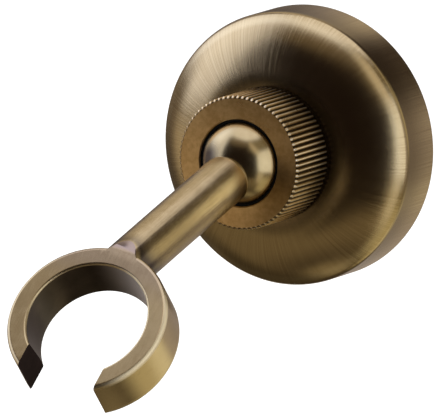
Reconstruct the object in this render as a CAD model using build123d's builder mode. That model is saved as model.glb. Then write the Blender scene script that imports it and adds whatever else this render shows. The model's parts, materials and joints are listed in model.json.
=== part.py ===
# Wall-mounted hand shower holder. A bell-shaped flange carries a ball joint under a knurled ring nut,
# and the ball carries an arm that ends in an open clip for the cone of a hand shower.
# Frame: the wall is the XZ plane, the holder stands out along -Y, and +Z is up.
# Heights are distances from the wall. Units are millimetres and degrees.

import os
from math import acos, atan2, cos, degrees, pi, radians, sin, sqrt, tan

from build123d import *

os.makedirs("parts", exist_ok=True)

# Wall flange
flange_d = 55.0
side_wall = 2.5
face_wall = 2.0
side_height = 10.1  # straight side wall, up to the shoulder
shoulder_round = 2.5
face_round = 19.5  # domed face, from the land to the shoulder
inner_round = 1.5
land_height = 17.7  # flat land round the centre hole, under the ring nut
rim_round = 0.3

# Wall bracket, hidden under the flange
bracket_gap = 2.0  # the bracket's rim to the flange's inside
bracket_sheet = 2.0
bracket_height = 7.5
bracket_bend = 0.8  # inside radius of the pressed corner
wall_screw_hole_d = 4.8
wall_screw_spacing = 30.0

# Grub screw in the underside of the flange
grub_d = 4.0
grub_height = 5.0
grub_sink = 0.5
grub_key = 2.0  # across the flats of its hexagon socket
grub_key_depth = 1.5
grub_point = 0.5
grub_tip_gap = 0.05

# Ball and its two nylon seats
ball_d = 17.6
ball_clearance = 0.05
seat_bare = 1.25  # back of the ball left bare by the hole in the rear seat
seat_wall = 0.75  # nylon beside the ball, on the radius
seat_front = 1.0  # the rear seat ends this far behind the ball's equator
ring_back = 0.15  # the front ring starts this far ahead of the ball's equator
ring_recess = 0.55  # front edge of the ring behind the nut's face

# Turned socket
stem_bore_d = 10.0
stem_wall = 3.0
stem_out = 1.0  # end of the stem past the lock nut
collar_step = 1.3  # collar beyond the thread, on the radius
collar_t = 1.3
socket_wall = 1.35  # between the seat's bore and the thread
seat_floor = 1.6  # floor of the seat's bore above the flange's land
socket_gap = 0.4  # front of the socket to the back of the front ring
edge_break = 0.4

# Lock nut and washer behind the flange
lock_nut_wall = 3.0  # from the stem to a flat of the hexagon
lock_nut_t = 4.0
washer_rim = 4.0  # washer beyond the stem, on the radius
washer_t = 0.8

# Knurled ring nut
nut_skirt = 0.85  # wall round the socket's collar, knurl included
nut_face = 3.75  # front face ahead of the ball's centre
nut_gap = 0.3  # back of the nut to the flange's land
nut_lip_t = 1.1
nut_lip_grip = 0.1  # hole of the lip inside the seat's sphere, on the radius
nut_edge = 0.35
nut_lip_edge = 0.2
nut_relief = 0.6  # axial room ahead of the socket's collar
knurl_pitch = 1.1
knurl_depth = 0.42
knurl_angle = 90.0

# Clearances, on the radius
fit_clearance = 0.05
turn_clearance = 0.1
collar_clearance = 0.3

# Arm and clip, with the ball joint in its rest pose
arm_tilt = 18.8  # from the wall's normal
arm_swing = 11.1  # from straight down towards -X
rod_d = 10.0
ball_flat = 1.2  # cut off the ball where the rod bears on it
rod_round = 1.0
neck_d = 6.0
stud_d = 5.0
stud_length = 9.0
stud_spare = 0.5
arm_reach = 45.0  # ball centre to the clip's outer wall, along the rod
clip_angle = 30.5  # rod to the clip's plane
clip_wall = 4.45
clip_height = 9.9
clip_bore_d = 23.6
clip_taper = 0.45  # the bore's upper end is wider by this, on the radius
clip_land = 3.0  # straight part of the bore, at its lower end
clip_round = 0.5
clip_bore_round = 0.3
clip_mouth = 17.1
tongue_tilt = 12.0  # ground flat on top of the rod, against the clip's plane

# Radii, from the ball outwards
ball_r = ball_d / 2
seat_sphere_r = ball_r + ball_clearance
seat_outer_r = seat_sphere_r + seat_wall
seat_bore_r = seat_outer_r + fit_clearance
thread_r = seat_bore_r + socket_wall
nut_bore_r = thread_r + turn_clearance
nut_lip_r = seat_sphere_r - nut_lip_grip
collar_r = thread_r + collar_step
counterbore_r = collar_r + collar_clearance
nut_r = counterbore_r + nut_skirt
stem_r = stem_bore_d / 2 + stem_wall
stem_hole_r = stem_r + fit_clearance
flange_r = flange_d / 2
side_r = flange_r - side_wall
bracket_r = side_r - bracket_gap
rod_r = rod_d / 2
clip_bore_r = clip_bore_d / 2
clip_r = clip_bore_r + clip_wall

# Heights on the flange's axis
inner_land_height = land_height - face_wall
washer_back = inner_land_height - washer_t
lock_nut_back = washer_back - lock_nut_t
stem_end = lock_nut_back - stem_out
collar_front = land_height + collar_t
seat_floor_height = land_height + seat_floor
ball_height = seat_floor_height + ball_r - seat_bare
ring_back_height = ball_height + ring_back
socket_front = ring_back_height - socket_gap
nut_back = land_height + nut_gap
nut_front = ball_height + nut_face
lip_back = nut_front - nut_lip_t
rod_start = ball_r - ball_flat

# Directions of the arm and the clip
wall_normal = Vector(0, -1, 0)
fall = Vector(-sin(radians(arm_swing)), 0, -cos(radians(arm_swing)))
arm_dir = wall_normal * cos(radians(arm_tilt)) + fall * sin(radians(arm_tilt))
arm_up = wall_normal * sin(radians(arm_tilt)) - fall * cos(radians(arm_tilt))
clip_axis = arm_up * cos(radians(clip_angle)) + arm_dir * sin(radians(clip_angle))
mouth_dir = arm_dir * cos(radians(clip_angle)) - arm_up * sin(radians(clip_angle))

# Planes that the pieces are drawn on. In a section plane x is the radius and y the height
section = Plane(origin=(0, 0, 0), x_dir=(1, 0, 0), z_dir=(0, 0, -1))
ball_centre = wall_normal * ball_height
ball_plane = Plane(origin=ball_centre, z_dir=arm_dir)
rod_plane = ball_plane.offset(rod_start)
clip_centre = ball_centre + arm_dir * arm_reach + mouth_dir * clip_r
clip_plane = Plane(origin=clip_centre, x_dir=mouth_dir, z_dir=clip_axis)
clip_section = Plane(origin=clip_centre, x_dir=mouth_dir, z_dir=mouth_dir.cross(clip_axis))
grub_plane = Plane(origin=(0, -grub_height, grub_sink - flange_r), z_dir=(0, 0, 1))


def height_plane(height):
    return Plane(origin=wall_normal * height, x_dir=(1, 0, 0), z_dir=wall_normal)


def finish(piece, name):
    piece.part.label = name
    export_step(piece.part, f"parts/{name}.step")


# Wall flange: one turned shell, open to the wall, with a hole for the socket's stem.
# Its flat land runs smoothly into the domed face, and the face into the shoulder and the side wall
shoulder_r = flange_r - shoulder_round
face_centre = land_height - face_round
face_rise = side_height - face_centre
land_r = shoulder_r - sqrt((face_round - shoulder_round) ** 2 - face_rise**2)
shoulder_arc = degrees(atan2(face_rise, shoulder_r - land_r))
inner_face_round = face_round - face_wall
inner_arc = degrees(acos((side_r - land_r) / inner_face_round))
with BuildPart() as wall_flange:
    with BuildSketch(section) as flange_profile:
        with BuildLine():
            side = Line((flange_r, 0), (flange_r, side_height))
            CenterArc((shoulder_r, side_height), shoulder_round, 0, shoulder_arc)
            face = CenterArc((land_r, face_centre), face_round, shoulder_arc, 90 - shoulder_arc)
            Polyline(
                face @ 1,
                (stem_hole_r, land_height),
                (stem_hole_r, inner_land_height),
                (land_r, inner_land_height),
            )
            inner_face = CenterArc((land_r, face_centre), inner_face_round, inner_arc, 90 - inner_arc)
            Polyline(inner_face @ 0, (side_r, 0), side @ 0)
        make_face()
        corners = flange_profile.vertices()
        fillet(corners.sort_by_distance(inner_face @ 0)[0], inner_round)
        fillet(corners.sort_by_distance(side @ 0)[0], rim_round)
    revolve(axis=Axis.Y)
    with BuildSketch(grub_plane):
        Circle(grub_d / 2 + fit_clearance)
    extrude(amount=2 * side_wall, both=True, mode=Mode.SUBTRACT)
finish(wall_flange, "wall_flange")

# Wall bracket: a pressed dish with two screw holes
with BuildPart() as wall_bracket:
    with BuildSketch(section) as bracket_profile:
        with BuildLine():
            Polyline(
                (0, 0),
                (bracket_r, 0),
                (bracket_r, bracket_height),
                (bracket_r - bracket_sheet, bracket_height),
                (bracket_r - bracket_sheet, bracket_sheet),
                (0, bracket_sheet),
                close=True,
            )
        make_face()
        corners = bracket_profile.vertices()
        inner_bend = corners.sort_by_distance((bracket_r - bracket_sheet, bracket_sheet))[0]
        outer_bend = corners.sort_by_distance((bracket_r, 0))[0]
        fillet(inner_bend, bracket_bend)
        fillet(outer_bend, bracket_bend + bracket_sheet)
    revolve(axis=Axis.Y)
    with BuildSketch(height_plane(0)):
        with GridLocations(wall_screw_spacing, 0, 2, 1):
            Circle(wall_screw_hole_d / 2)
    extrude(amount=bracket_sheet, mode=Mode.SUBTRACT)
finish(wall_bracket, "wall_bracket")

# Grub screw: it stops just short of the bracket's rim
grub_length = flange_r - grub_sink - bracket_r - grub_tip_gap
with BuildPart() as grub_screw:
    with BuildSketch(grub_plane):
        Circle(grub_d / 2)
    extrude(amount=grub_length)
    chamfer(grub_screw.edges().group_by(Axis.Z)[-1], grub_point)
    with BuildSketch(grub_plane):
        RegularPolygon(grub_key / 2, 6, major_radius=False)
    extrude(amount=grub_key_depth, mode=Mode.SUBTRACT)
finish(grub_screw, "grub_screw")

# Ball socket: stem through the flange, collar on its land, threaded barrel with the seat's bore
with BuildPart() as ball_socket:
    with BuildSketch(section) as socket_profile:
        with BuildLine():
            Polyline(
                (stem_bore_d / 2, stem_end),
                (stem_r, stem_end),
                (stem_r, land_height),
                (collar_r, land_height),
                (collar_r, collar_front),
                (thread_r, collar_front),
                (thread_r, socket_front),
                (seat_bore_r, socket_front),
                (seat_bore_r, seat_floor_height),
                (stem_bore_d / 2, seat_floor_height),
                close=True,
            )
        make_face()
        corners = socket_profile.vertices()
        chamfer(corners.sort_by_distance((stem_r, stem_end))[0], edge_break)
        chamfer(corners.sort_by_distance((thread_r, socket_front))[0], edge_break)
    revolve(axis=Axis.Y)
finish(ball_socket, "ball_socket")

# Washer and hexagon nut that clamp the socket in the flange
with BuildPart() as lock_washer:
    with BuildSketch(height_plane(washer_back)):
        Circle(stem_r + washer_rim)
        Circle(stem_hole_r, mode=Mode.SUBTRACT)
    extrude(amount=washer_t)
finish(lock_washer, "lock_washer")

with BuildPart() as lock_nut:
    with BuildSketch(height_plane(lock_nut_back)):
        RegularPolygon(stem_r + lock_nut_wall, 6, major_radius=False)
        Circle(stem_hole_r, mode=Mode.SUBTRACT)
    extrude(amount=lock_nut_t)
finish(lock_nut, "lock_nut")

# Rear seat: a nylon ring with a spherical face, in the socket's bore
with BuildPart() as rear_seat:
    with BuildSketch(section):
        with Locations((0, seat_floor_height)):
            seat_height = ball_height - seat_front - seat_floor_height
            Rectangle(seat_outer_r, seat_height, align=(Align.MIN, Align.MIN))
        with Locations((0, ball_height)):
            Circle(seat_sphere_r, mode=Mode.SUBTRACT)
    revolve(axis=Axis.Y)
finish(rear_seat, "rear_seat")

# Friction ring: its flange lies behind the nut's lip, its thin front edge fills the gap round the ball
ring_outer_r = nut_bore_r - turn_clearance
ring_nose_r = nut_lip_r - turn_clearance
ring_shoulder = lip_back - fit_clearance
ring_front = nut_front - ring_recess
with BuildPart() as friction_ring:
    with BuildSketch(section):
        with BuildLine():
            Polyline(
                (0, ring_back_height),
                (ring_outer_r, ring_back_height),
                (ring_outer_r, ring_shoulder),
                (ring_nose_r, ring_shoulder),
                (ring_nose_r, ring_front),
                (0, ring_front),
                close=True,
            )
        make_face()
        with Locations((0, ball_height)):
            Circle(seat_sphere_r, mode=Mode.SUBTRACT)
    revolve(axis=Axis.Y)
finish(friction_ring, "friction_ring")

# Knurled ring nut: turned blank, then straight knurling cut round its outside
counterbore_end = collar_front + nut_relief
knurl_count = round(2 * pi * nut_r / knurl_pitch)
with BuildPart() as knurled_nut:
    with BuildSketch(section) as nut_profile:
        with BuildLine():
            Polyline(
                (nut_r, nut_back),
                (nut_r, nut_front),
                (nut_lip_r, nut_front),
                (nut_lip_r, lip_back),
                (nut_bore_r, lip_back),
                (nut_bore_r, counterbore_end),
                (counterbore_r, counterbore_end),
                (counterbore_r, nut_back),
                close=True,
            )
        make_face()
        corners = nut_profile.vertices()
        chamfer(corners.sort_by_distance((nut_r, nut_front))[0], nut_edge)
        chamfer(corners.sort_by_distance((nut_r, nut_back))[0], nut_edge)
        chamfer(corners.sort_by_distance((nut_lip_r, nut_front))[0], nut_lip_edge)
    revolve(axis=Axis.Y)
    with BuildSketch(height_plane(nut_back)):
        with PolarLocations(nut_r - knurl_depth, knurl_count):
            groove_reach = 2 * knurl_depth
            groove_half = groove_reach * tan(radians(knurl_angle / 2))
            Polygon((0, 0), (groove_reach, -groove_half), (groove_reach, groove_half), align=None)
    extrude(amount=nut_front - nut_back, mode=Mode.SUBTRACT)
finish(knurled_nut, "knurled_nut")

# Ball: turned with a flat and a short neck that the rod bears on, and the stud that screws into the rod
with BuildPart() as ball_stud:
    with Locations(ball_plane):
        Sphere(ball_r)
    split(bisect_by=rod_plane, keep=Keep.BOTTOM)
    with BuildSketch(ball_plane):
        Circle(neck_d / 2)
    extrude(amount=rod_start)
    with BuildSketch(rod_plane):
        Circle(stud_d / 2)
    extrude(amount=stud_length)
finish(ball_stud, "ball_stud")

# Arm: rod and clip as one piece. The rod runs into the clip's wall and is ground flush on top
clip_half = clip_height / 2
rod_length = arm_reach + (clip_wall + rod_r) / cos(radians(clip_angle)) - rod_start
tongue_reach = 2 * rod_d
tongue_drop = tongue_reach * tan(radians(tongue_tilt))
with BuildPart() as holder_arm:
    with BuildSketch(rod_plane):
        Circle(rod_r)
    extrude(amount=rod_length)
    rod_edges = holder_arm.edges().filter_by(GeomType.CIRCLE)
    fillet(rod_edges.sort_by_distance(rod_plane.origin)[0], rod_round)
    with BuildSketch(rod_plane):
        Circle(stud_d / 2 + fit_clearance)
    extrude(amount=stud_length + stud_spare, mode=Mode.SUBTRACT)
    with BuildSketch(clip_section):
        with BuildLine():
            Polyline(
                (clip_r, clip_half),
                (-clip_r, clip_half),
                (-clip_r - tongue_reach, clip_half - tongue_drop),
                (-clip_r - tongue_reach, clip_half + tongue_reach),
                (clip_r, clip_half + tongue_reach),
                close=True,
            )
        make_face()
    extrude(amount=rod_d, both=True, mode=Mode.SUBTRACT)
    with BuildSketch(clip_plane.offset(-clip_half)):
        Circle(clip_r)
    extrude(amount=-rod_d, mode=Mode.SUBTRACT)
    with BuildSketch(clip_section) as clip_profile:
        Rectangle(clip_r, clip_height, align=(Align.MIN, Align.CENTER))
        fillet(clip_profile.vertices().group_by(Axis.X)[-1], clip_round)
    revolve(axis=Axis(clip_centre, clip_axis))
    with BuildSketch(clip_section):
        with BuildLine():
            Polyline(
                (0, -clip_half),
                (clip_bore_r, -clip_half),
                (clip_bore_r, clip_land - clip_half),
                (clip_bore_r + clip_taper, clip_half),
                (0, clip_half),
                close=True,
            )
        make_face()
    revolve(axis=Axis(clip_centre, clip_axis), mode=Mode.SUBTRACT)
    bore_edges = holder_arm.edges().filter_by(GeomType.CIRCLE)
    lower_edge = bore_edges.sort_by_distance(clip_plane.offset(-clip_half).origin)[0]
    upper_edge = bore_edges.sort_by_distance(clip_plane.offset(clip_half).origin)[0]
    fillet([lower_edge, upper_edge], clip_bore_round)
    with BuildSketch(clip_plane):
        Rectangle(2 * clip_r, clip_mouth, align=(Align.MIN, Align.CENTER))
    extrude(amount=clip_height, both=True, mode=Mode.SUBTRACT)
finish(holder_arm, "holder_arm")
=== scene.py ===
import json
from math import acos, asin, atan2, cos, hypot, pi, radians, sin, sqrt, tan

import bmesh
import bpy
from mathutils import Matrix, Vector


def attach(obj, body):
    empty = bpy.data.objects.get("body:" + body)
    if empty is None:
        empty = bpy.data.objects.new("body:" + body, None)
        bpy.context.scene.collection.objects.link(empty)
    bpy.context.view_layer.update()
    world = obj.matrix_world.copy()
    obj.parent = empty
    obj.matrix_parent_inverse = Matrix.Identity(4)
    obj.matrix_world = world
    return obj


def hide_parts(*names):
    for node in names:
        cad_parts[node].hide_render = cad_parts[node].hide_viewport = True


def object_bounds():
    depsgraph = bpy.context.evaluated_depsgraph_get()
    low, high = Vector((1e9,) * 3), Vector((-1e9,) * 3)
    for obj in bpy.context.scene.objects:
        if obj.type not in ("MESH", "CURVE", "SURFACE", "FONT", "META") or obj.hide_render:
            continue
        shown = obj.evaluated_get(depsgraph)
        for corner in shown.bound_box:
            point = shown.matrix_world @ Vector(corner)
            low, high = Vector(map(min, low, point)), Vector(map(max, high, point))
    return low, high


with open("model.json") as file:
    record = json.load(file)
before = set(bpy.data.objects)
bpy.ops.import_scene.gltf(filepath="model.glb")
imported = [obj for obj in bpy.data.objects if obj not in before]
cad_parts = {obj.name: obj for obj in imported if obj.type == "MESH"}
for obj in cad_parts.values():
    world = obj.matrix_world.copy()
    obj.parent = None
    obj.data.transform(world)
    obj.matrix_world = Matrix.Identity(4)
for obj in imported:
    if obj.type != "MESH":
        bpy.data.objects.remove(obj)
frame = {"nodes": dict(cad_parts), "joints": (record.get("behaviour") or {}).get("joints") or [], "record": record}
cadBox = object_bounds()
mm = 0.001  # pieces are drawn in millimetres, the frame is in metres
near = 1e-6  # metres, for telling whether a vertex lies on a ring or a plane
core = 1.0  # radius of the ring that a solid piece draws together on its axis

joints = {joint["name"]: joint for joint in frame["joints"]}
mounts = {mount["name"]: mount for mount in frame["record"]["mounts"]}
ballCentre = Vector(joints["arm_roll"]["pos_m"])
armDir = Vector(joints["arm_roll"]["axis"]).normalized()
clipAxis = Vector(mounts["shower_clip"]["axis"]).normalized()
print("frame loaded,", len(frame["nodes"]), "nodes")


# Modelling helpers

def startFresh():
    if bpy.context.object and bpy.context.object.mode != "OBJECT":
        bpy.ops.object.mode_set(mode="OBJECT")
    bpy.ops.object.select_all(action="DESELECT")


def editOnly(piece):
    startFresh()
    piece.select_set(True)
    bpy.context.view_layer.objects.active = piece
    bpy.ops.object.mode_set(mode="EDIT")


def pick(kind, test):  # selects the vertices, edges or faces that pass the test
    bpy.ops.mesh.select_mode(type={"verts": "VERT", "edges": "EDGE", "faces": "FACE"}[kind])
    bpy.ops.mesh.select_all(action="DESELECT")
    mesh = bmesh.from_edit_mesh(bpy.context.object.data)
    for part in getattr(mesh, kind):
        part.select_set(bool(test(part)))
    bmesh.update_edit_mesh(bpy.context.object.data)


def onRing(radius, height):  # test for what lies on one ring of a turned piece
    def test(part):
        points = part.verts if hasattr(part, "verts") else [part]
        return all(
            abs(hypot(p.co.x, p.co.y) - radius * mm) < near and abs(p.co.z - height * mm) < near
            for p in points
        )
    return test


def cornerTurn(before, corner, after):  # angle by which a profile turns at a corner
    coming = Vector((corner[0] - before[0], corner[1] - before[1]))
    going = Vector((after[0] - corner[0], after[1] - corner[1]))
    return coming.angle(going)


def arc(middle, radius, start, end, steps):  # profile corners along a round, angles from the radius line
    turns = [start + (end - start) * k / steps for k in range(steps + 1)]
    return [(middle[0] + radius * cos(t), middle[1] + radius * sin(t), 0) for t in turns]


def turnOnLathe(name, profile, segments, solid=False, roundSteps=10):
    # profile corners are (radius, height, round). A solid closes on the axis at its first and last corner
    startFresh()
    radius, height = profile[0][:2]
    bpy.ops.mesh.primitive_circle_add(
        vertices=segments, radius=radius * mm, location=(0, 0, height * mm)
    )
    piece = bpy.context.object
    piece.name = name
    bpy.ops.object.transform_apply(location=True, rotation=True, scale=True)
    bpy.ops.object.mode_set(mode="EDIT")
    bpy.ops.mesh.select_mode(type="EDGE")
    bpy.ops.mesh.select_all(action="SELECT")
    for corner in profile[1:]:
        bpy.ops.mesh.extrude_edges_move(
            TRANSFORM_OT_translate={"value": (0, 0, (corner[1] - height) * mm)}
        )
        grow = corner[0] / radius
        bpy.ops.transform.resize(value=(grow, grow, 1), center_override=(0, 0, corner[1] * mm))
        radius, height = corner[:2]
    if solid:
        for end in (profile[0], profile[-1]):
            pick("verts", onRing(end[0], end[1]))
            bpy.ops.mesh.merge(type="CENTER")
    else:
        pick("edges", lambda edge: edge.is_boundary)
        bpy.ops.mesh.bridge_edge_loops()
    for k, corner in enumerate(profile):
        if corner[2] > 0:
            turn = cornerTurn(profile[k - 1], corner, profile[(k + 1) % len(profile)])
            pick("edges", onRing(corner[0], corner[1]))
            cut = corner[2] * tan(turn / 2) * mm
            bpy.ops.mesh.bevel(offset=cut, segments=roundSteps, affect="EDGES")
    bpy.ops.mesh.select_all(action="SELECT")
    bpy.ops.mesh.remove_doubles(threshold=1e-7)
    bpy.ops.mesh.normals_make_consistent(inside=False)
    bpy.ops.object.mode_set(mode="OBJECT")
    return piece


def carve(piece, tool, operation):  # boolean with a tool that is thrown away after
    startFresh()
    bpy.context.view_layer.objects.active = piece
    piece.select_set(True)
    boolean = piece.modifiers.new("carve", "BOOLEAN")
    boolean.operation = operation
    boolean.solver = "EXACT"
    boolean.object = tool
    bpy.ops.object.modifier_apply(modifier=boolean.name)
    bpy.data.objects.remove(tool)


def drill(piece, radius, depth, spot, segments):  # takes an upright cylinder out of a piece
    startFresh()
    bpy.ops.mesh.primitive_cylinder_add(
        vertices=segments, radius=radius * mm, depth=depth * mm, location=[way * mm for way in spot]
    )
    carve(piece, bpy.context.object, "DIFFERENCE")


def putAt(piece, matrix):  # moves the finished shape to its place and leaves the object at the origin
    startFresh()
    piece.matrix_world = matrix
    piece.select_set(True)
    bpy.context.view_layer.objects.active = piece
    bpy.ops.object.transform_apply(location=True, rotation=True, scale=True)


def smoothOff(piece, sharpAngle=32):
    startFresh()
    piece.select_set(True)
    bpy.context.view_layer.objects.active = piece
    bpy.ops.object.shade_smooth_by_angle(angle=radians(sharpAngle))
    weighted = piece.modifiers.new("flatFacesFirst", "WEIGHTED_NORMAL")
    weighted.keep_sharp = True
    weighted.weight = 80
    bpy.ops.object.modifier_apply(modifier=weighted.name)


def handOver(piece, node, body, slot, *materials):  # the piece stands for its CAD node
    piece.data.materials.clear()
    for material in materials:
        piece.data.materials.append(material)
    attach(piece, body)
    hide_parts(node)
    print(piece.name, len(piece.data.polygons), "faces")


def framed(origin, xDir, yDir, zDir):
    columns = Matrix((xDir, yDir, zDir)).transposed().to_4x4()
    return Matrix.Translation(origin) @ columns


def wayTo(azimuth, elevation):  # degrees, azimuth 0 is straight in front of the wall
    a, e = radians(azimuth), radians(elevation)
    return Vector((sin(a) * cos(e), -cos(a) * cos(e), sin(e)))


mouthDir = (armDir - clipAxis * armDir.dot(clipAxis)).normalized()
clipSide = clipAxis.cross(mouthDir)
wallPlace = Matrix.Rotation(radians(90), 4, "X")  # a lathe height becomes a distance from the wall
rodPlace = framed(ballCentre, clipSide.cross(armDir), clipSide, armDir)


# Shader wiring

class Wire:  # one output socket, so that shader sums read as plain Python
    def __init__(self, tree, socket=None):
        self.tree = tree
        self.socket = socket

    def node(self, kind, settings, inputs, output=0):
        made = self.tree.nodes.new(kind)
        for name, value in settings.items():
            setattr(made, name, value)
        for key, value in inputs.items():
            if isinstance(value, Wire):
                self.tree.links.new(value.socket, made.inputs[key])
            else:
                made.inputs[key].default_value = value
        return Wire(self.tree, made.outputs[output])

    def sum(self, operation, *values):
        return self.node("ShaderNodeMath", {"operation": operation}, dict(enumerate(values)))

    def __add__(self, other):
        return self.sum("ADD", self, other)

    def __radd__(self, other):
        return self.sum("ADD", other, self)

    def __sub__(self, other):
        return self.sum("SUBTRACT", self, other)

    def __rsub__(self, other):
        return self.sum("SUBTRACT", other, self)

    def __mul__(self, other):
        return self.sum("MULTIPLY", self, other)

    def __rmul__(self, other):
        return self.sum("MULTIPLY", other, self)

    def __truediv__(self, other):
        return self.sum("DIVIDE", self, other)

    def __pow__(self, other):
        return self.sum("POWER", self, other)

    def __abs__(self):
        return self.sum("ABSOLUTE", self)

    def rise(self, low, high):  # 0 below low, 1 above high, soft between
        return self.node(
            "ShaderNodeMapRange", {"interpolation_type": "SMOOTHSTEP"}, {0: self, 1: low, 2: high}
        )

    def blend(self, first, second):  # a colour, from first at 0 to second at 1
        return self.node(
            "ShaderNodeMix", {"data_type": "RGBA"}, {0: self, 6: first, 7: second}, output=2
        )


def startMaterial(name):
    material = bpy.data.materials.new(name)
    material.use_nodes = True
    tree = material.node_tree
    return material, Wire(tree), tree.nodes["Principled BSDF"]


def plug(shader, **inputs):  # values or wires into the shader's sockets
    for name, value in inputs.items():
        socket = shader.inputs[name.replace("_", " ")]
        if isinstance(value, Wire):
            value.tree.links.new(value.socket, socket)
        else:
            socket.default_value = value


def objectMillimetres(wire, turn=None):
    # object coordinates in millimetres, measured from and along a local frame if one is given
    place = wire.node("ShaderNodeTexCoord", {}, {}, output="Object")
    if turn is not None:
        back = turn.inverted()
        place = wire.node(
            "ShaderNodeMapping",
            {"vector_type": "POINT"},
            {0: place, 1: back.to_translation(), 2: back.to_euler()},
        )
    place = wire.node("ShaderNodeVectorMath", {"operation": "SCALE"}, {0: place, "Scale": 1 / mm})
    return [wire.node("ShaderNodeSeparateXYZ", {}, {0: place}, output=k) for k in range(3)]


def joinXYZ(wire, x, y, z):
    return wire.node("ShaderNodeCombineXYZ", {}, {0: x, 1: y, 2: z})


def grain(wire, vector, scale, detail=3.0, roughness=0.55):
    return wire.node(
        "ShaderNodeTexNoise",
        {"noise_dimensions": "3D"},
        {"Vector": vector, "Scale": scale, "Detail": detail, "Roughness": roughness},
    )


def dent(wire, height, depth):  # bump, with its depth in millimetres
    return wire.node("ShaderNodeBump", {}, {"Height": height, "Strength": 1.0, "Distance": depth * mm})


# Finishes

brassTones = {
    "edge": (0.80, 0.68, 0.46, 1),  # worn bright by handling, and a painted highlight on rims and the flange's shoulder
    "relieved": (0.66, 0.54, 0.345, 1),  # brushed back to the metal
    "patina": (0.53, 0.415, 0.245, 1),
    "shaded": (0.33, 0.255, 0.15, 1),
    "groove": (0.05, 0.035, 0.02, 1),  # patina that no brush reached in the grooves, also the painted shade by the nut
    "ridge": (1.0, 0.94, 0.84, 1),  # knurl polished by the hand, and a painted highlight on its ridges
    "bronze": (0.84, 0.62, 0.34, 1),
    "deepBronze": (0.62, 0.43, 0.21, 1),
    "ball": (0.62, 0.515, 0.32, 1),
    "dullBall": (0.56, 0.455, 0.275, 1),
    "ballShade": (0.07, 0.052, 0.046, 1),  # painted shade on the ball's left side
    # painted shadow in the corner between rod and clip
    "corner": (0.09, 0.074, 0.076, 1),
    "tongue": (0.44, 0.355, 0.34, 1),  # ground flat and left dull, its lilac tone a painted reflection
    "faceShade": (0.44, 0.36, 0.34, 1),  # painted shade on the face of the clip beside the rod
    "bore": (0.05, 0.04, 0.038, 1),
    "paleBore": (0.085, 0.068, 0.064, 1),
    # a painted sheen inside the bore, over its rubbed side
    "boreSheen": (0.62, 0.54, 0.51, 1),
}


tiny = 0.001  # millimetres, keeps a division away from zero


def makeFlangeBrass():
    # brushed from the centre outwards, over the shoulder and down the side. Pairs are soft ranges
    finish = {
        "scratches": 420.0, "scratchDepth": 0.010, "lines": 110.0, "lineDepth": 0.003, "stretch": 0.00006,
        "rough": 0.17, "lineRough": 0.06, "wornLines": (0.25, 0.75), "shoulderStart": (25.0, 26.0),
        "shoulderEnd": (26.2, 27.2), "shoulderFront": (10.0, 11.0), "shoulderWearAndHighlight": 0.5,
        "side": (27.3, 27.45), "sideFade": (0.0, 10.0), "nutCorner": (14.5, 17.5), "cornerShade": 0.65,
    }
    material, wire, shader = startMaterial("flangeBrass")
    x, y, z = objectMillimetres(wire)
    height = 0 - y
    radius = (x * x + z * z) ** 0.5 + tiny
    spokes = joinXYZ(wire, x / radius, z / radius, radius * finish["stretch"])
    scratches = grain(wire, spokes, finish["scratches"], 1.0, 0.5)
    lines = grain(wire, spokes, finish["lines"], 2.0, 0.5)
    # the shoulder worn bright, with a painted highlight ring on it
    onShoulder = radius.rise(*finish["shoulderStart"]) * (1 - radius.rise(*finish["shoulderEnd"]))
    onShoulder = onShoulder * height.rise(*finish["shoulderFront"])
    underShoulder = radius.rise(*finish["side"]) * height.rise(*finish["sideFade"])
    nutShade = 1 - radius.rise(*finish["nutCorner"])  # painted shade in the corner by the nut
    tone = lines.rise(*finish["wornLines"]).blend(brassTones["patina"], brassTones["relieved"])
    tone = (finish["shoulderWearAndHighlight"] * onShoulder).blend(tone, brassTones["edge"])
    tone = (finish["cornerShade"] * nutShade).blend(tone, brassTones["groove"])
    plug(
        shader,
        Metallic=1.0,
        Base_Color=underShoulder.blend(tone, brassTones["shaded"]),
        Roughness=finish["rough"] + finish["lineRough"] * lines,
        Normal=dent(wire, finish["scratchDepth"] * scratches + finish["lineDepth"] * lines, 1.0),
    )
    return material


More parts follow.
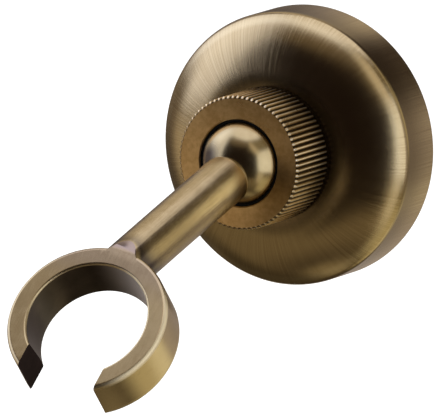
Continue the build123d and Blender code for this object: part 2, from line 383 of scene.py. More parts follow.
def makeArmBrass(clipPlace, a):
    # the rod is brushed lengthwise, the clip along its mouth, and its edges are worn bright with a painted
    # highlight; painted shade and shadow under the rod and by the clip
    finish = {
        "scratches": 60.0, "scratchDepth": 0.024, "lines": 20.0, "lineDepth": 0.008, "stretch": 0.004,
        "clouds": 0.35, "rubAndSheen": 2.5, "rubbedDepth": 0.004, "rubbedStretch": 0.15, "rodFade": 4.0,
        "rough": 0.16, "cloudRough": 0.1, "wornRough": 0.2, "worn": (0.30, 0.70), "wornEnd": 1.2,
        "alongMouth": 0.008, "acrossMouth": 0.02, "rear": (6.0, 13.0), "rearShade": 0.45,
        "highlightSide": (0.0, 6.0), "highlightEnd": (8.0, 13.0), "highlightTop": (0.0, 2.0), "highlightMatt": 0.7,
        "underStart": (16.0, 34.0), "underSide": (0.0, 3.0), "underShade": 0.8, "cornerRod": (5.5, 8.0),
    }
    material, wire, shader = startMaterial("armBrass")
    x, y, z = objectMillimetres(wire, rodPlace)
    radius = (x * x + y * y) ** 0.5 + tiny
    onRod = 1 - z.rise(a["reach"] - finish["rodFade"], a["reach"])
    lengthwise = joinXYZ(wire, x / radius, y / radius, z * finish["stretch"])
    scratches = grain(wire, lengthwise, finish["scratches"], 1.0, 0.5)
    lines = grain(wire, lengthwise, finish["lines"], 2.0, 0.5)
    clouds = grain(wire, joinXYZ(wire, x, y, z), finish["clouds"], 3.0)
    u, v, w = objectMillimetres(wire, clipPlace)
    rubAndSheen = grain(wire, joinXYZ(wire, u * finish["rubbedStretch"], v, w), finish["rubAndSheen"], 3.0)
    fromAxis = (u * u + v * v) ** 0.5
    outer = a["clipRadius"]
    half = a["clipHeight"] / 2
    onClip = rubAndSheen + u * finish["alongMouth"] + v * finish["acrossMouth"]
    worn = 0.5 * clouds + 0.5 * (onRod * lines + (1 - onRod) * onClip)
    atRear = (0 - u).rise(*finish["rear"])

    # rims of the clip and the rod's end worn bright with a painted highlight, left out at the clip's rear, and
    # matt on the mouth side's upper rims where that painted highlight shows
    rims = fromAxis.rise(outer - 0.85, outer - 0.3) * (1 - atRear)
    rims = rims + 1 - fromAxis.rise(a["boreTop"], a["boreTop"] + 0.5)
    onRims = abs(w).rise(half - 1.4, half - 0.2) * rims * (1 - onRod)
    onHighlightSide = v.rise(*finish["highlightSide"]) * (1 - u.rise(*finish["highlightEnd"]))
    rimHighlight = onRims * onHighlightSide * w.rise(*finish["highlightTop"])
    edgeWearAndHighlight = onRims + 1 - z.rise(a["rodStart"], a["rodStart"] + finish["wornEnd"])

    # painted shade under the rod and painted shadow in its corner with the clip, the tongue dull with a painted
    # reflection, and painted shade on the clip's face beside it
    rodShade = z.rise(*finish["underStart"]) * y.rise(*finish["underSide"]) * onRod
    cornerShadow = 1 - fromAxis.rise(outer + 0.5, outer + 6.0)
    cornerShadow = cornerShadow * (1 - w.rise(half - 1.2, half - 0.3)) * (1 - radius.rise(*finish["cornerRod"]))
    rearTopShade = atRear * w.rise(half - 0.3, half)
    aboveTongue = w - (u + outer) * tan(radians(a["tongueTilt"]))
    onTongue = aboveTongue.rise(half - 0.15, half - 0.05) * fromAxis.rise(outer - 0.3, outer + 0.6)
    tone = worn.rise(*finish["worn"]).blend(brassTones["patina"], brassTones["relieved"])
    tone = (finish["underShade"] * rodShade).blend(tone, brassTones["shaded"])
    tone = cornerShadow.blend(tone, brassTones["corner"])
    tone = (finish["rearShade"] * rearTopShade).blend(tone, brassTones["faceShade"])
    tone = onTongue.blend(tone, brassTones["tongue"])
    relief = onRod * (finish["scratchDepth"] * scratches + finish["lineDepth"] * lines)
    relief = relief + (1 - onRod) * rubAndSheen * finish["rubbedDepth"]
    plug(
        shader,
        Metallic=1 - finish["highlightMatt"] * rimHighlight,
        Base_Color=edgeWearAndHighlight.blend(tone, brassTones["edge"]),
        Roughness=finish["rough"] + finish["cloudRough"] * clouds + finish["wornRough"] * edgeWearAndHighlight,
        Normal=dent(wire, relief, 1.0),
    )
    return material


def makeBorePatinaAndSheen(clipPlace):
    # dark patina inside the clip, rubbed paler where a hand shower slides in and out, and painted with a sheen
    # there
    finish = {
        "clouds": 0.2, "darkClouds": (0.25, 0.8), "depth": 0.003, "side": (-6.0, 8.0),
        "mouth": (7.0, 13.0), "pale": 0.75, "matt": 0.8, "rough": 0.26, "cloudRough": 0.1,
    }
    material, wire, shader = startMaterial("borePatina")
    u, v, w = objectMillimetres(wire, clipPlace)
    cloud = grain(wire, joinXYZ(wire, u, v, w), finish["clouds"], 3.0)
    # rubbed and painted with a sheen towards one side and the mouth
    rubAndSheen = wire.sum("MAXIMUM", v.rise(*finish["side"]), u.rise(*finish["mouth"]))
    dark = cloud.rise(*finish["darkClouds"]).blend(brassTones["bore"], brassTones["paleBore"])
    plug(
        shader,
        Metallic=1 - finish["matt"] * rubAndSheen,
        Base_Color=(finish["pale"] * rubAndSheen).blend(dark, brassTones["boreSheen"]),
        Roughness=finish["rough"] + finish["cloudRough"] * cloud,
        Normal=dent(wire, cloud, finish["depth"]),
    )
    return material


def makeNutBronze(n):
    # bronze face turned slightly crowned, dark grooves, ridges worn bright by the hand with a painted highlight,
    # and painted shade at the knurl's back and on its left ridges
    finish = {
        "clouds": 0.22, "mottle": 1.1, "rings": 7.0, "ringDepth": 0.002, "crown": 0.5, "rough": 0.24,
        "cloudRough": 0.1, "groove": (0.14, 0.38), "ridge": (0.33, 0.45), "shadeSide": (-4.0, 4.0),
        "paintedShade": 0.6, "face": (0.35, 0.65),
    }
    material, wire, shader = startMaterial("nutBronze")
    x, y, z = objectMillimetres(wire)
    height = 0 - y
    radius = (x * x + z * z) ** 0.5 + tiny
    cloud = grain(wire, joinXYZ(wire, x, y, z), finish["clouds"], 3.0)
    mottle = grain(wire, joinXYZ(wire, x, y, z), finish["mottle"], 3.0)
    rings = grain(wire, joinXYZ(wire, radius, 0.0, 0.0), finish["rings"], 2.0)
    onFace = height.rise(n["front"] - 0.1, n["front"] - 0.05)
    crown = 1 - (radius / n["radius"]) ** 2
    groove = wire.sum("WRAP", wire.sum("ARCTAN2", z, x) * (n["ridges"] / (2 * pi)), 0.5, -0.5)
    fromGroove = abs(groove)  # half a pitch away is the top of a ridge
    root = n["radius"] - n["knurlDepth"]
    onKnurl = radius.rise(root - 0.2, root)
    # painted shade at the back of the knurl, next to the flange
    backShade = 1 - height.rise(n["back"] + 0.3, n["back"] + 0.9)
    inGroove = onKnurl * wire.sum("MAXIMUM", 1 - fromGroove.rise(*finish["groove"]), backShade)
    onRidge = onKnurl * fromGroove.rise(*finish["ridge"]) * (1 - backShade)
    # ridges dimmed on the left as painted shade, so their painted highlight stays on the right
    onRidge = onRidge * (1 - finish["paintedShade"] * (0 - x).rise(*finish["shadeSide"]))
    face = (0.4 * cloud + 0.4 * mottle + 0.2 * rings).rise(*finish["face"])
    face = face.blend(brassTones["deepBronze"], brassTones["bronze"])
    plug(
        shader,
        Metallic=1.0,
        Base_Color=onRidge.blend(inGroove.blend(face, brassTones["groove"]), brassTones["ridge"]),
        Roughness=finish["rough"] + finish["cloudRough"] * cloud,
        Normal=dent(wire, onFace * (finish["crown"] * crown + finish["ringDepth"] * rings), 1.0),
    )
    return material


def makePolishedBall():
    # painted shade on the ball's left side, dark and less metal
    finish = {
        "clouds": 0.4, "brightClouds": (0.2, 0.8), "fine": 6.0, "depth": 0.0004, "rough": 0.2,
        "fineRough": 0.05, "side": (0.5, 4.5), "top": (2.0, 5.5), "matt": 0.85,
    }
    material, wire, shader = startMaterial("polishedBall")
    x, y, z = objectMillimetres(wire)
    cloud = grain(wire, joinXYZ(wire, x, y, z), finish["clouds"], 3.0)
    fine = grain(wire, joinXYZ(wire, x, y, z), finish["fine"], 3.0)
    # painted shade: the left side, below the top
    paintedShade = (0 - x).rise(*finish["side"]) * (1 - z.rise(*finish["top"]))
    bright = cloud.rise(*finish["brightClouds"]).blend(brassTones["dullBall"], brassTones["ball"])
    plug(
        shader,
        Metallic=1 - finish["matt"] * paintedShade,
        Base_Color=paintedShade.blend(bright, brassTones["ballShade"]),
        Roughness=finish["rough"] + finish["fineRough"] * fine,
        Normal=dent(wire, fine, finish["depth"]),
    )
    return material


def makeSpeckled(name, look, **constants):  # one grain gives the tone, the roughness and the bump
    material, wire, shader = startMaterial(name)
    x, y, z = objectMillimetres(wire)
    speck = grain(wire, joinXYZ(wire, x, y, z), look["scale"], 3.0)
    share = speck.rise(*look["spread"]) if "spread" in look else speck
    plug(
        shader,
        Base_Color=share.blend(*look["tones"]),
        Roughness=look["rough"] + look["roughSpread"] * speck,
        Normal=dent(wire, speck, look["depth"]),
        **constants,
    )
    return material


def makeTurnedBrass():
    finish = {"rings": 5.0, "depth": 0.004, "rough": 0.22, "ringRough": 0.15}
    material, wire, shader = startMaterial("turnedBrass")
    x, y, z = objectMillimetres(wire)
    radius = (x * x + z * z) ** 0.5
    rings = grain(wire, joinXYZ(wire, radius, y, 0.0), finish["rings"], 3.0)
    plug(
        shader,
        Metallic=1.0,
        Base_Color=rings.blend((0.55, 0.40, 0.17, 1), (0.70, 0.55, 0.28, 1)),
        Roughness=finish["rough"] + finish["ringRough"] * rings,
        Normal=dent(wire, rings, finish["depth"]),
    )
    return material


def makePlatedSteel():
    finish = {
        "clouds": 0.12, "spangle": 1.2, "spread": (0.3, 0.7), "depth": 0.002, "rough": 0.28,
        "spangleRough": 0.2,
    }
    material, wire, shader = startMaterial("platedSteel")
    x, y, z = objectMillimetres(wire)
    cloud = grain(wire, joinXYZ(wire, x, y, z), finish["clouds"], 4.0)
    spangle = grain(wire, joinXYZ(wire, x, y, z), finish["spangle"], 3.0)
    share = (0.6 * cloud + 0.4 * spangle).rise(*finish["spread"])
    plug(
        shader,
        Metallic=1.0,
        Base_Color=share.blend((0.50, 0.50, 0.49, 1), (0.68, 0.67, 0.64, 1)),
        Roughness=finish["rough"] + finish["spangleRough"] * spangle,
        Normal=dent(wire, spangle, finish["depth"]),
    )
    return material


# slot's ends from the saw, seats and ring, and the grub screw
sawnLook = {
    "tones": ((0.012, 0.007, 0.006, 1), (0.022, 0.013, 0.011, 1)), "scale": 0.2, "spread": (0.25, 0.8),
    "rough": 0.5, "roughSpread": 0.1, "depth": 0.003,
}
nylonLook = {
    "tones": ((0.002, 0.002, 0.002, 1), (0.007, 0.0065, 0.006, 1)), "scale": 2.5,
    "rough": 0.55, "roughSpread": 0.15, "depth": 0.004,
}
oxideLook = {
    "tones": ((0.035, 0.034, 0.034, 1), (0.075, 0.072, 0.07, 1)), "scale": 2.0,
    "rough": 0.35, "roughSpread": 0.15, "depth": 0.002,
}

flangeBrass = makeFlangeBrass()
sawnPatina = makeSpeckled("sawnPatina", sawnLook, Specular_IOR_Level=0.02)
polishedBall = makePolishedBall()
blackNylon = makeSpeckled("blackNylon", nylonLook, Specular_IOR_Level=0.15)
turnedBrass = makeTurnedBrass()
platedSteel = makePlatedSteel()
blackOxide = makeSpeckled("blackOxide", oxideLook, Metallic=1.0)
print("finishes made")


# Wall flange

flange = {
    "radius": 27.5, "sideHeight": 10.1, "shoulder": 2.5, "face": 19.5, "rim": 0.3, "sideWall": 2.5,
    "faceWall": 2.0, "landHeight": 17.7, "holeRadius": 8.05, "innerRound": 1.5, "grubHole": 2.05,
    "grubHeight": 5.0, "segments": 256, "grubSegments": 48, "faceSteps": 32, "shoulderSteps": 12,
    "innerSteps": 12, "roundSteps": 8,
}


def makeWallFlange(f):
    side = f["radius"] - f["sideWall"]
    innerLand = f["landHeight"] - f["faceWall"]
    shoulderSpot = (f["radius"] - f["shoulder"], f["sideHeight"])
    rise = f["sideHeight"] - f["landHeight"] + f["face"]  # shoulder's centre over the dome's
    across = sqrt((f["face"] - f["shoulder"]) ** 2 - rise ** 2)
    faceSpot = (shoulderSpot[0] - across, f["landHeight"] - f["face"])
    meet = atan2(rise, across)  # where the shoulder runs into the domed face
    innerFace = f["face"] - f["faceWall"]
    innerMeet = acos((side - faceSpot[0]) / innerFace)
    profile = [(side, 0, 0), (f["radius"], 0, f["rim"])]
    profile += arc(shoulderSpot, f["shoulder"], 0, meet, f["shoulderSteps"])
    profile += arc(faceSpot, f["face"], meet, pi / 2, f["faceSteps"])[1:]
    profile += [(f["holeRadius"], f["landHeight"], 0), (f["holeRadius"], innerLand, 0)]
    profile += arc(faceSpot, innerFace, pi / 2, innerMeet, f["innerSteps"])
    profile[-1] = (*profile[-1][:2], f["innerRound"])
    piece = turnOnLathe("wallFlange", profile, f["segments"], roundSteps=f["roundSteps"])
    putAt(piece, wallPlace)
    grubSpot = (0, -f["grubHeight"], -(f["radius"] - f["sideWall"] / 2))
    drill(piece, f["grubHole"], 4 * f["sideWall"], grubSpot, f["grubSegments"])
    smoothOff(piece)
    handOver(piece, "wall_flange", "wall_base", "antique_brass", flangeBrass)


makeWallFlange(flange)


# Knurled ring nut

nut = {
    "radius": 13.45, "back": 18.0, "front": 30.6, "edge": 0.35, "lipRadius": 8.75, "lipEdge": 0.2,
    "lip": 1.1, "bore": 11.1, "counterbore": 12.6, "counterboreEnd": 19.6, "ridges": 77, "columns": 8,
    "knurlDepth": 0.42, "sharpAngle": 28,
}


def makeKnurledNut(n):
    rimRadius = n["radius"] - n["knurlDepth"]
    lipBack = n["front"] - n["lip"]
    profile = [
        (n["counterbore"], n["back"], 0),
        (rimRadius, n["back"], 0),
        (n["radius"], n["back"] + n["edge"], 0),
        (n["radius"], n["front"] - n["edge"], 0),
        (rimRadius, n["front"], 0),
        (n["lipRadius"] + n["lipEdge"], n["front"], 0),
        (n["lipRadius"], n["front"] - n["lipEdge"], 0),
        (n["lipRadius"], lipBack, 0),
        (n["bore"], lipBack, 0),
        (n["bore"], n["counterboreEnd"], 0),
        (n["counterbore"], n["counterboreEnd"], 0),
    ]
    count = n["ridges"] * n["columns"]
    piece = turnOnLathe("knurledNut", profile, count)
    editOnly(piece)
    step = 2 * pi / count
    width = n["radius"] * step
    half = n["columns"] // 2

    def columnOf(vertex):  # columns away from the middle of the nearest groove
        column = round(Vector((1, 0)).angle_signed(vertex.co.xy) / step) % n["columns"]
        return min(column, n["columns"] - column)

    for away in range(half):
        depth = n["knurlDepth"] - away * width  # flanks at 45 degrees
        if depth <= 0:
            continue
        pick("verts", lambda v: abs(v.co.xy.length - n["radius"] * mm) < near and columnOf(v) == away)
        shrink = 1 - depth / n["radius"]
        bpy.ops.transform.resize(value=(shrink, shrink, 1), center_override=(0, 0, 0))
    bpy.ops.object.mode_set(mode="OBJECT")
    putAt(piece, wallPlace)
    smoothOff(piece, n["sharpAngle"])
    handOver(piece, "knurled_nut", "nut", "antique_brass", makeNutBronze(n))


makeKnurledNut(nut)


# Friction ring and ball

ball = {
    "radius": 8.8, "height": 26.85, "clearance": 0.05, "rodStart": 7.6, "studRadius": 2.5,
    "studLength": 9.0, "studEdge": 0.4, "ringBack": 0.15, "ringOuter": 11.0, "ringShoulder": 29.45,
    "ringNose": 8.65, "ringFront": 30.05, "arcSteps": 12, "segments": 128,
}


def makeFrictionRing(b):
    seat = b["radius"] + b["clearance"]
    first = asin((b["ringFront"] - b["height"]) / seat)
    last = asin(b["ringBack"] / seat)
    profile = arc((0, b["height"]), seat, first, last, b["arcSteps"])
    profile += [
        (b["ringOuter"], b["height"] + b["ringBack"], 0),
        (b["ringOuter"], b["ringShoulder"], 0),
        (b["ringNose"], b["ringShoulder"], 0),
        (b["ringNose"], b["ringFront"], 0),
    ]
    piece = turnOnLathe("frictionRing", profile, b["segments"])
    putAt(piece, wallPlace)
    smoothOff(piece)
    handOver(piece, "friction_ring", "ring", "nylon", blackNylon)


def makeBallStud(b):
    startFresh()
    bpy.ops.mesh.primitive_uv_sphere_add(
        segments=b["segments"], ring_count=b["segments"] // 2, radius=b["radius"] * mm
    )
    piece = bpy.context.object
    piece.name = "ballStud"
    editOnly(piece)
    flat = b["rodStart"] * mm
    bpy.ops.mesh.select_all(action="SELECT")
    bpy.ops.mesh.bisect(plane_co=(0, 0, flat), plane_no=(0, 0, 1), clear_outer=True, use_fill=True)
    pick("faces", lambda face: face.calc_center_median().z > flat - near)
    flatRadius = sqrt(b["radius"] ** 2 - b["rodStart"] ** 2)
    shrink = b["studRadius"] / flatRadius
    bpy.ops.mesh.extrude_region_move(TRANSFORM_OT_translate={"value": (0, 0, 0)})
    bpy.ops.transform.resize(value=(shrink, shrink, 1), center_override=(0, 0, flat))
    bpy.ops.mesh.extrude_region_move(TRANSFORM_OT_translate={"value": (0, 0, b["studLength"] * mm)})
    tip = flat + b["studLength"] * mm
    pick("edges", lambda edge: all(v.co.z > tip - near for v in edge.verts))
    bpy.ops.mesh.bevel(offset=b["studEdge"] * mm, segments=1, affect="EDGES")
    bpy.ops.mesh.select_all(action="SELECT")
    bpy.ops.mesh.normals_make_consistent(inside=False)
    bpy.ops.object.mode_set(mode="OBJECT")
    putAt(piece, rodPlace)
    smoothOff(piece)
    handOver(piece, "ball_stud", "ball", "polished_brass", polishedBall)


makeFrictionRing(ball)
makeBallStud(ball)


# Arm with its clip, drawn with the clip lying flat, its axis up and its mouth towards +X

arm = {
    "rodRadius": 5.0, "rodRound": 1.0, "rodStart": 7.6, "reach": 45.0, "studHole": 2.55,
    "studDepth": 9.5, "clipRadius": 16.25, "clipHeight": 9.9, "bore": 11.8, "boreTop": 12.25,
    "boreLand": 3.0, "clipRound": 0.85, "underRound": 0.5, "leadRound": 0.5, "boreRound": 0.3,
    "mouth": 17.1, "tongueTilt": 12.0, "segments": 192, "rodSegments": 96, "sharpAngle": 30,
}


def makeHolderArm(a):
    lean = armDir.angle(mouthDir)  # rod against the clip's plane
    half = a["clipHeight"] / 2
    wall = a["clipRadius"] - a["bore"]
    clip = turnOnLathe(
        "holderArm",
        [
            (a["bore"], -half, a["boreRound"]),
            (a["clipRadius"], -half, a["underRound"]),
            (a["clipRadius"], half, a["clipRound"]),
            (a["boreTop"], half, a["leadRound"]),
            (a["bore"], a["boreLand"] - half, 0),
        ],
        a["segments"],
    )
    rodEnd = a["reach"] + (wall + a["rodRadius"]) / cos(lean)
    rod = turnOnLathe(
        "rod",
        [
            (core, a["rodStart"] + a["studDepth"], 0),
            (a["studHole"], a["rodStart"] + a["studDepth"], 0),
            (a["studHole"], a["rodStart"], 0),
            (a["rodRadius"], a["rodStart"], a["rodRound"]),
            (a["rodRadius"], rodEnd, 0),
            (core, rodEnd, 0),
        ],
        a["rodSegments"],
        solid=True,
    )
    along = Vector((cos(lean), 0, sin(lean)))
    across = Vector((0, 1, 0))
    ballSpot = Vector((-a["clipRadius"], 0, 0)) * mm - along * a["reach"] * mm
    putAt(rod, framed(ballSpot, across.cross(along), across, along))
    trimRod(rod, a, half)
    carve(clip, rod, "UNION")
    startFresh()
    bpy.ops.mesh.primitive_cube_add(
        size=1, location=(a["clipRadius"] * mm, 0, 0),
        scale=(2 * a["clipRadius"] * mm, a["mouth"] * mm, 2 * a["clipHeight"] * mm),
    )
    carve(clip, bpy.context.object, "DIFFERENCE")
    darken(clip, a)
    clipSpot = ballCentre + armDir * a["reach"] * mm + mouthDir * a["clipRadius"] * mm
    clipPlace = framed(clipSpot, mouthDir, clipSide, clipAxis)
    putAt(clip, clipPlace)
    smoothOff(clip, a["sharpAngle"])
    slots = [face.material_index for face in clip.data.polygons]
    armBrass = makeArmBrass(clipPlace, a)
    handOver(clip, "holder_arm", "arm", "antique_brass", armBrass, makeBorePatinaAndSheen(clipPlace), sawnPatina)
    for face, slot in zip(clip.data.polygons, slots):
        face.material_index = slot


def trimRod(rod, a, half):  # ground flat on top, and cut off under the clip and inside its wall
    editOnly(rod)
    tilt = radians(a["tongueTilt"])
    for spot, normal in (
        ((-a["clipRadius"] * mm, 0, half * mm), (-sin(tilt), 0, cos(tilt))),
        ((0, 0, half * mm), (0, 0, 1)),
    ):
        bpy.ops.mesh.select_all(action="SELECT")
        bpy.ops.mesh.bisect(plane_co=spot, plane_no=normal, clear_outer=True, use_fill=True)
    bpy.ops.object.mode_set(mode="OBJECT")
    midWall = (a["bore"] + a["clipRadius"]) / 2
    for radius, height in ((a["clipRadius"], -3 * half), (midWall, 0)):
        drill(rod, radius, 2 * a["clipHeight"], (0, 0, height), a["segments"])


def darken(clip, a):  # the bore and the slot's ends keep their dark patina
    boreSlack = 0.05
    slotSlack = 0.01
    upright = 0.2  # a bore face leans no more than this
    across = 0.99  # a slot face looks straight over the mouth
    reach = (a["boreTop"] + boreSlack) * mm
    slotSide = (a["mouth"] / 2 + slotSlack) * mm
    for face in clip.data.polygons:
        centre = face.center
        inBore = hypot(centre.x, centre.y) < reach and abs(face.normal.z) < upright
        inSlot = centre.x > 0 and abs(centre.y) < slotSide and abs(face.normal.y) > across
        face.material_index = 2 if inSlot else 1 if inBore else 0


makeHolderArm(arm)


# Wall bracket and grub screw

bracket = {
    "radius": 23.0, "sheet": 2.0, "height": 7.5, "bend": 0.8, "screwHole": 2.4, "screwSpacing": 30.0,
    "edge": 0.25, "segments": 192, "holeSegments": 64, "roundSteps": 8,
}


def makeWallBracket(b):
    inner = b["radius"] - b["sheet"]
    piece = turnOnLathe(
        "wallBracket",
        [
            (core, 0, 0),
            (b["radius"], 0, b["bend"] + b["sheet"]),
            (b["radius"], b["height"], b["edge"]),
            (inner, b["height"], b["edge"]),
            (inner, b["sheet"], b["bend"]),
            (core, b["sheet"], 0),
        ],
        b["segments"],
        solid=True,
        roundSteps=b["roundSteps"],
    )
    for side in (-1, 1):
        screwSpot = (side * b["screwSpacing"] / 2, 0, 0)
        drill(piece, b["screwHole"], 4 * b["sheet"], screwSpot, b["holeSegments"])
    putAt(piece, wallPlace)
    smoothOff(piece)
    handOver(piece, "wall_bracket", "wall_base", "plated_steel", platedSteel)


makeWallBracket(bracket)

grub = {
    "radius": 2.0, "height": 5.0, "outer": 27.0, "length": 3.95, "point": 0.5, "rim": 0.25,
    "key": 2.0, "keyDepth": 1.5, "segments": 48, "roundSteps": 3,
}


def makeGrubScrew(g):
    piece = turnOnLathe(
        "grubScrew",
        [
            (core / 2, 0, 0),
            (g["radius"], 0, g["rim"]),
            (g["radius"], g["length"] - g["point"], 0),
            (g["radius"] - g["point"], g["length"], 0),
            (core / 2, g["length"], 0),
        ],
        g["segments"],
        solid=True,
        roundSteps=g["roundSteps"],
    )
    drill(piece, g["key"] / sqrt(3), 2 * g["keyDepth"], (0, 0, 0), 6)  # hexagon socket
    putAt(piece, Matrix.Translation((0, -g["height"] * mm, -g["outer"] * mm)))
    smoothOff(piece)
    handOver(piece, "grub_screw", "wall_base", "black_steel", blackOxide)


makeGrubScrew(grub)

for node, material in (
    ("ball_socket", turnedBrass),
    ("lock_nut", turnedBrass),
    ("lock_washer", platedSteel),
    ("rear_seat", blackNylon),
):
    frame["nodes"][node].data.materials.clear()
    frame["nodes"][node].data.materials.append(material)
print("pieces made")


# Stage: floor, light tent, lamps, world and camera

stage = {
    "floorDrop": 0.105, "floorSize": 30.0, "tentRadius": 2.0, "tentLift": 0.001, "tentSegments": 96,
    "tentDark": (0.012, 0.007, 0.005, 1),
}


def makeFloor(s):
    startFresh()
    bpy.ops.mesh.primitive_plane_add(size=s["floorSize"], location=(0, 0, cadBox[0].z - s["floorDrop"]))
    floor = bpy.context.object
    floor.name = "floor"
    material, wire, shader = startMaterial("paleFloor")
    seen = wire.node("ShaderNodeLightPath", {}, {}, output="Is Camera Ray")
    plug(
        shader,
        Base_Color=(0.8, 0.8, 0.8, 1),
        Roughness=0.9,
        Emission_Color=seen.blend((0, 0, 0, 1), (0.55, 0.55, 0.55, 1)),
        Emission_Strength=1.0,
    )
    floor.data.materials.append(material)


def makeTent(s, panels):  # soft panels and dark flags round the object, seen in its reflections only
    startFresh()
    bpy.ops.mesh.primitive_uv_sphere_add(
        segments=s["tentSegments"], ring_count=s["tentSegments"] // 2,
        radius=s["tentRadius"], location=ballCentre,
    )
    tent = bpy.context.object
    tent.name = "lightTent"
    ground = cadBox[0].z - s["floorDrop"] + s["tentLift"]
    editOnly(tent)
    bpy.ops.mesh.select_all(action="SELECT")
    bpy.ops.mesh.bisect(plane_co=(0, 0, ground), plane_no=(0, 0, -1), clear_outer=True, use_fill=True)
    bpy.ops.object.mode_set(mode="OBJECT")
    for ray in ("camera", "diffuse", "shadow", "transmission"):
        setattr(tent, "visible_" + ray, False)
    material, wire, shader = startMaterial("tentPanels")
    place = wire.node("ShaderNodeTexCoord", {}, {}, output="Object")
    way = wire.node("ShaderNodeVectorMath", {"operation": "NORMALIZE"}, {0: place})
    x, y, z = [wire.node("ShaderNodeSeparateXYZ", {}, {0: way}, output=k) for k in range(3)]
    azimuth = wire.sum("ARCTAN2", x, 0 - y) * (180 / pi)
    elevation = wire.sum("ARCSINE", z) * (180 / pi)
    colour = s["tentDark"]
    for each in panels:
        upright = azimuth - elevation * each["lean"]
        aside = abs(wire.sum("WRAP", upright - each["azimuth"], 180.0, -180.0))
        above = abs(elevation - each["elevation"])
        inside = 1.0
        for away, reach, soft in zip((aside, above), each["reach"], each["soft"]):
            inside = inside * (1 - away.rise(reach - soft, reach + soft))
        colour = inside.blend(colour, (*each["colour"], 1))
    plug(
        shader,
        Base_Color=(0, 0, 0, 1),
        Specular_IOR_Level=0.0,
        Emission_Color=colour,
        Emission_Strength=1.0,
    )
    tent.data.materials.append(material)


def panel(azimuth, elevation, reach, soft, colour, lean=0.0):  # angles in degrees
    return {
        "azimuth": azimuth, "elevation": elevation, "reach": reach, "soft": soft, "colour": colour,
        "lean": lean,
    }


# a later panel lies over the earlier ones
tentPanels = [
    panel(180, 0, (70, 100), (12, 1), (0.33, 0.28, 0.25)),  # room behind
    panel(-124, 45, (12, 26), (8, 8), (0.2, 0.16, 0.14)),
    panel(-154, 46, (24, 20), (8, 6), (0.62, 0.54, 0.42)),
    panel(152, 34, (28, 22), (6, 9), (0.06, 0.045, 0.035)),  # rear flag
    panel(114, 34, (12, 22), (6, 8), (0.45, 0.38, 0.24)),
    panel(130, 38, (9, 14), (6, 8), (0.2, 0.165, 0.11)),
    panel(-150, 4, (16, 10), (6, 6), (0.14, 0.115, 0.1)),
    panel(-77, 33, (33, 31), (6, 5), (1.0, 1.0, 1.1), lean=-0.12),
    panel(-86, 33, (16, 22), (14, 14), (1.32, 1.33, 1.46)),  # left softbox
    panel(-10, 54, (45, 9), (20, 7), (0.15, 0.11, 0.06)),
    panel(68, 46, (32, 14), (10, 8), (0.22, 0.175, 0.1)),
    panel(0, 90, (400, 29), (1, 5), (1.06, 1.02, 1.02)),  # overhead
    panel(-4, 58, (18, 4), (10, 3), (0.2, 0.15, 0.09)),
    panel(104, -4, (24, 29), (12, 7), (0.4, 0.35, 0.29)),
    panel(76, -8, (21, 38), (3, 6), (1.08, 1.06, 1.0)),  # right softbox
    panel(73, 40, (8, 16), (3, 6), (0.7, 0.6, 0.44), lean=-0.6),
    panel(-105, -3, (21, 16), (9, 7), (0.16, 0.125, 0.09)),
    panel(-66, -12, (27, 10), (8, 4), (0.52, 0.43, 0.3)),
    panel(-32, -16, (14, 11), (6, 4), (0.42, 0.32, 0.2)),
    panel(0, -90, (400, 68), (1, 3), (0.19, 0.145, 0.08)),  # table
    panel(0, -90, (400, 28), (1, 14), (0.08, 0.06, 0.035)),
    panel(0, -90, (400, 11), (1, 6), (0.32, 0.26, 0.15)),
    panel(21, -25, (35, 13), (8, 5), (0.02, 0.014, 0.009)),
    panel(112, -52, (44, 17), (7, 8), (0.55, 0.47, 0.27)),
    panel(-140, -60, (50, 25), (14, 10), (0.06, 0.045, 0.025)),
    panel(-118, -21, (11, 15), (6, 6), (0.07, 0.055, 0.04)),
    panel(172, -19, (46, 10), (10, 3), (0.32, 0.27, 0.22)),
    panel(-172, -27, (34, 15), (8, 5), (0.42, 0.36, 0.3)),
    panel(145, -38, (13, 15), (6, 7), (0.85, 0.77, 0.52)),
    panel(132, 11, (9, 17), (6, 7), (1.0, 0.9, 0.6)),
    panel(64, -35, (8, 13), (3, 6), (0.62, 0.54, 0.38)),
]

makeFloor(stage)
makeTent(stage, tentPanels)


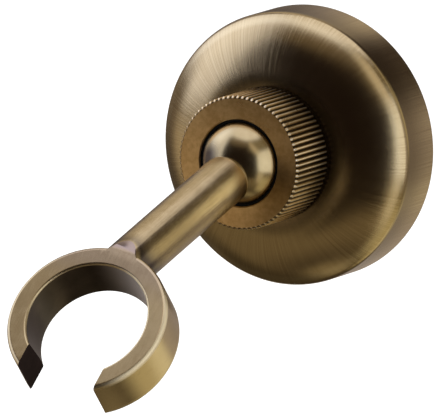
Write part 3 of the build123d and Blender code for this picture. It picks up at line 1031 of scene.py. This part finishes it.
def makeWorld():
    world = bpy.data.worlds.new("paleStudio")
    bpy.context.scene.world = world
    world.use_nodes = True
    tree = world.node_tree
    wire = Wire(tree)
    camera, glossy, through = [
        wire.node("ShaderNodeLightPath", {}, {}, output=name)
        for name in ("Is Camera Ray", "Is Glossy Ray", "Is Transmission Ray")
    ]
    seen = wire.sum("MAXIMUM", wire.sum("MAXIMUM", camera, glossy), through)
    background = tree.nodes["Background"]
    tree.links.new(seen.blend((0.55, 0.55, 0.55, 1), (1, 1, 1, 1)).socket, background.inputs[0])
    background.inputs[1].default_value = 1.0


def addLamp(name, azimuth, elevation, distance, size, power):
    way = wayTo(azimuth, elevation)
    data = bpy.data.lights.new(name, "AREA")
    data.size = size
    data.energy = power
    lamp = bpy.data.objects.new(name, data)
    bpy.context.scene.collection.objects.link(lamp)
    lamp.location = (cadBox[0] + cadBox[1]) / 2 + way * distance
    lamp.rotation_euler = (-way).to_track_quat("-Z", "Y").to_euler()
    lamp.visible_camera = False
    lamp.visible_glossy = False


# the camera's place and its focal length in pixels of a picture this wide
photoView = {
    "azimuth": 28.833, "elevation": 9.780, "distance": 2.845, "right": 0.01837, "up": 0.01362,
    "focal": 14260.0, "width": 440,
}
lamps = {
    "leftSoftbox": {"azimuth": -90, "elevation": 45, "distance": 1.2, "size": 1.0, "power": 9.0},
    "rightSoftbox": {"azimuth": 75, "elevation": 10, "distance": 1.2, "size": 0.8, "power": 5.0},
}


def makeCamera(v):
    back = wayTo(v["azimuth"], v["elevation"])
    right = wayTo(v["azimuth"] + 90, 0)
    up = back.cross(right)
    data = bpy.data.cameras.new("photoCamera")
    data.sensor_width = 36.0
    data.lens = v["focal"] * data.sensor_width / v["width"]
    camera = bpy.data.objects.new("photoCamera", data)
    bpy.context.scene.collection.objects.link(camera)
    spot = back * v["distance"] - right * v["right"] - up * v["up"]
    camera.matrix_world = framed(spot, right, up, back)
    bpy.context.scene.camera = camera


makeWorld()
for name, lamp in lamps.items():
    addLamp(name, **lamp)
makeCamera(photoView)
bpy.context.scene.view_settings.view_transform = "Standard"
print("stage set")
